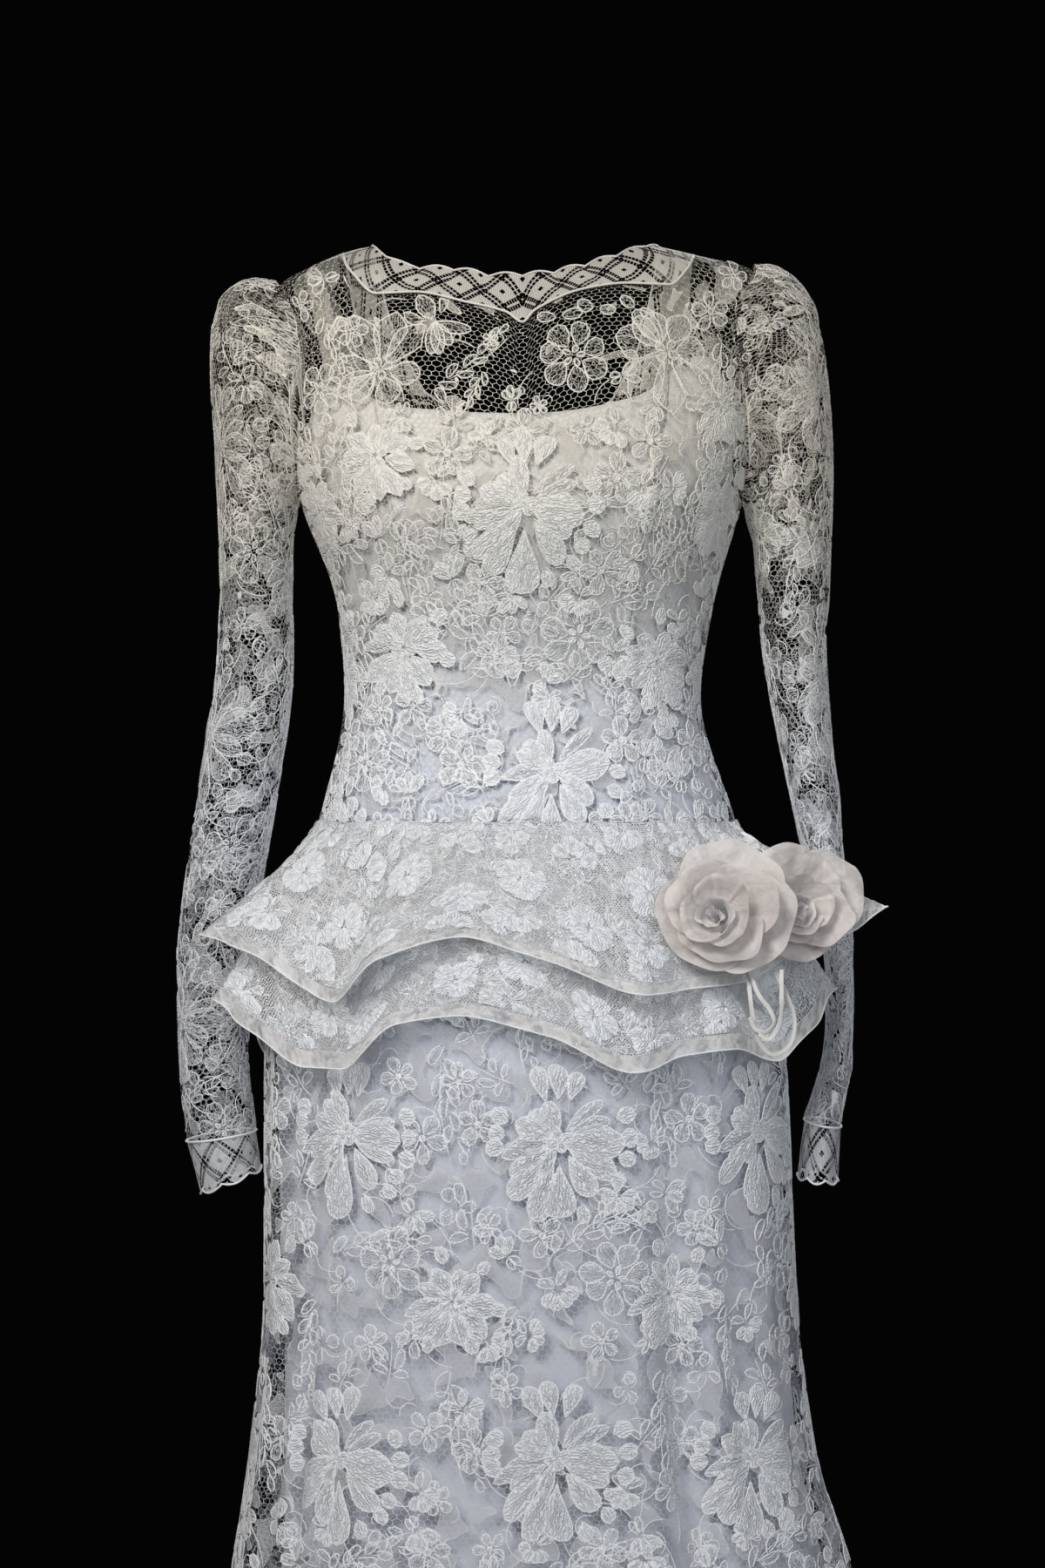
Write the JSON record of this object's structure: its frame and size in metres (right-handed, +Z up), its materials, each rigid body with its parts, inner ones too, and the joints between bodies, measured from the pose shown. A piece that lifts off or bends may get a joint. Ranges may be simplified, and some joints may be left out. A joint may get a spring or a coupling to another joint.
{
  "type": "wedding dress",
  "caption": "Long-sleeved corded-lace wedding dress over a crepe slip: boat neck, dropped waist, tiered peplum flounces, organza roses on one hip, long flared skirt.",
  "frame": {"origin": "between the tops of the shoulders, where a wearer or a hanger holds the dress up", "axes": "+Z up along the dress; it faces -Y; +X is the wearer's left"},
  "size_m": [0.6254, 0.507, 1.4121],
  "materials": {
    "lace": "ivory corded floral lace on hexagonal net, matt with a soft cord sheen",
    "crepe": "opaque ivory crepe, soft sheen",
    "organza": "sheer blush-ivory organza, crisp, slight sheen",
    "satin": "ivory satin ribbon, glossy",
    "zip_tape": "ivory woven tape",
    "zip_metal": "ivory enamelled metal"
  },
  "bodies": {
    "dress": {"lace_bodice_front": "lace", "lace_bodice_back_left": "lace", "lace_bodice_back_right": "lace", "lace_sleeve_left": "lace", "lace_sleeve_right": "lace", "neck_border_front": "lace", "neck_border_back_left": "lace", "neck_border_back_right": "lace", "cuff_border_left": "lace", "cuff_border_right": "lace", "lace_skirt_front": "lace", "lace_skirt_back": "lace", "flounce_lower": "lace", "flounce_upper": "lace", "slip_front_centre": "crepe", "slip_front_side_left": "crepe", "slip_front_side_right": "crepe", "slip_back_left": "crepe", "slip_back_right": "crepe", "slip_strap_left": "crepe", "slip_strap_right": "crepe", "underskirt_front": "crepe", "underskirt_back": "crepe", "rose_large_petal_1a": "organza", "rose_large_petal_1b": "organza", "rose_large_petal_1c": "organza", "rose_large_petal_2a": "organza", "rose_large_petal_2b": "organza", "rose_large_petal_2c": "organza", "rose_large_petal_3a": "organza", "rose_large_petal_3b": "organza", "rose_large_petal_3c": "organza", "rose_large_bud": "organza", "rose_small_petal_1a": "organza", "rose_small_petal_1b": "organza", "rose_small_petal_1c": "organza", "rose_small_petal_2a": "organza", "rose_small_petal_2b": "organza", "rose_small_petal_2c": "organza", "rose_small_petal_3a": "organza", "rose_small_petal_3b": "organza", "rose_small_petal_3c": "organza", "rose_small_bud": "organza", "flounce_lower_binding": "organza", "flounce_upper_binding": "organza", "ribbon_loop_1": "satin", "ribbon_loop_2": "satin", "ribbon_loop_3": "satin", "zip_tape_left": "zip_tape", "zip_tape_right": "zip_tape", "zip_slider": "zip_metal"},
    "pull": {"zip_pull": "zip_metal"}
  },
  "joints": [
    {"name": "pull_tab_swing", "type": "hinge", "parent": "dress", "child": "pull", "pos_m": [0, 0.10252, -0.128], "axis": [1, 0, 0], "range_deg": [0, 150]}
  ]
}
